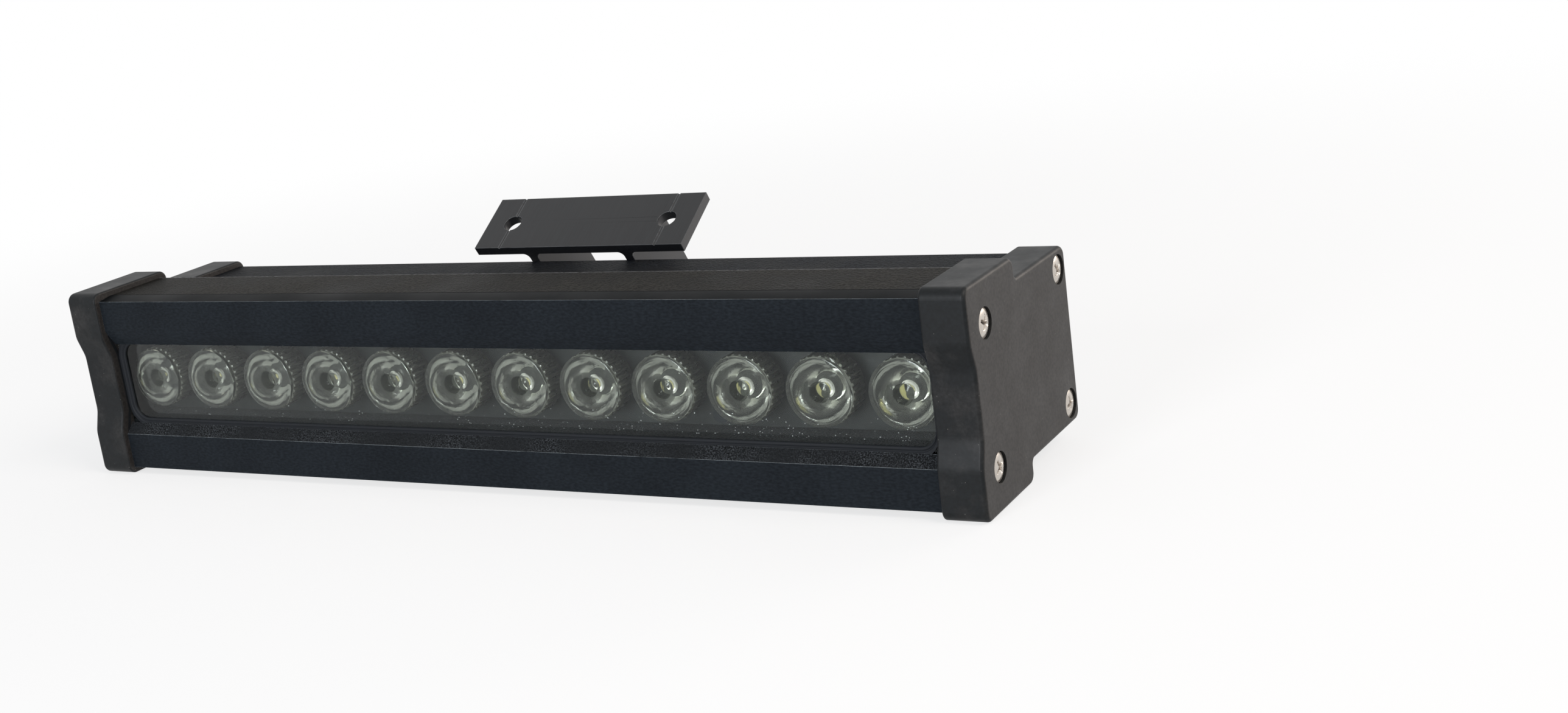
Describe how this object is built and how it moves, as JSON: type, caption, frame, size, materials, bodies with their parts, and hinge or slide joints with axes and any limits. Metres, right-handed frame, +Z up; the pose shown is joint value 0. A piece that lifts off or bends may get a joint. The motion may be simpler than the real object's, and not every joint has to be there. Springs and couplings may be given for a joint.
{
  "type": "wall washer light",
  "caption": "Long black outdoor wall washer light with a row of lenses behind glass, thick stepped end caps and a bracket that tilts it about a hinge bolt.",
  "frame": {"origin": "centre of the bracket's mounting face", "axes": "+X along the light to the right cap, +Y from the window to the back, +Z up"},
  "size_m": [0.3394, 0.1101, 0.0726],
  "materials": {
    "black_painted_aluminium": "charcoal black paint with a fine leather texture",
    "black_cap": "satin black powder coat on a die casting",
    "black_anodised": "black anodised, drawn along the profile",
    "window_glass": "clear tempered glass",
    "clear_lens": "clear moulded acrylic",
    "clear_holder": "translucent moulded plastic",
    "led_yellow": "yellow phosphor under clear silicone",
    "board": "black solder mask",
    "grey_case": "potted case",
    "black_rubber": "black silicone",
    "black_plastic": "black nylon",
    "nickel_screw": "bright nickel plated steel",
    "black_screw": "black oxide steel"
  },
  "bodies": {
    "bracket_fixed": {"bracket": "black_anodised", "friction_washers": "black_plastic", "hinge_bolt": "nickel_screw", "hinge_washers": "nickel_screw", "lock_nut": "nickel_screw", "spring_washer": "nickel_screw"},
    "lamp": {"board_screws": "black_screw", "cap_screws_left": "nickel_screw", "cap_screws_right": "nickel_screw", "driver_module": "grey_case", "driver_screws": "nickel_screw", "end_cap_left": "black_cap", "end_cap_right": "black_cap", "end_gasket_left": "black_rubber", "end_gasket_right": "black_rubber", "foot_screws": "nickel_screw", "front_glass": "window_glass", "gland_body": "black_plastic", "gland_nut": "black_plastic", "gland_seal": "black_rubber", "glass_gasket": "black_rubber", "hinge_foot": "black_anodised", "housing_extrusion": "black_painted_aluminium", "led_board": "board", "led_chips": "led_yellow", "lens_01": "clear_lens", "lens_02": "clear_lens", "lens_03": "clear_lens", "lens_04": "clear_lens", "lens_05": "clear_lens", "lens_06": "clear_lens", "lens_07": "clear_lens", "lens_08": "clear_lens", "lens_09": "clear_lens", "lens_10": "clear_lens", "lens_11": "clear_lens", "lens_12": "clear_lens", "lens_holder_01": "clear_holder", "lens_holder_02": "clear_holder", "lens_holder_03": "clear_holder", "lens_holder_04": "clear_holder", "lens_holder_05": "clear_holder", "lens_holder_06": "clear_holder", "lens_holder_07": "clear_holder", "lens_holder_08": "clear_holder", "lens_holder_09": "clear_holder", "lens_holder_10": "clear_holder", "lens_holder_11": "clear_holder", "lens_holder_12": "clear_holder", "window_seal": "black_rubber"}
  },
  "joints": [
    {"name": "bracket_tilt", "type": "hinge", "parent": "bracket_fixed", "child": "lamp", "pos_m": [0, 0.02142, -0.03496], "axis": [1, 0, 0], "range_deg": [0, 243]}
  ]
}
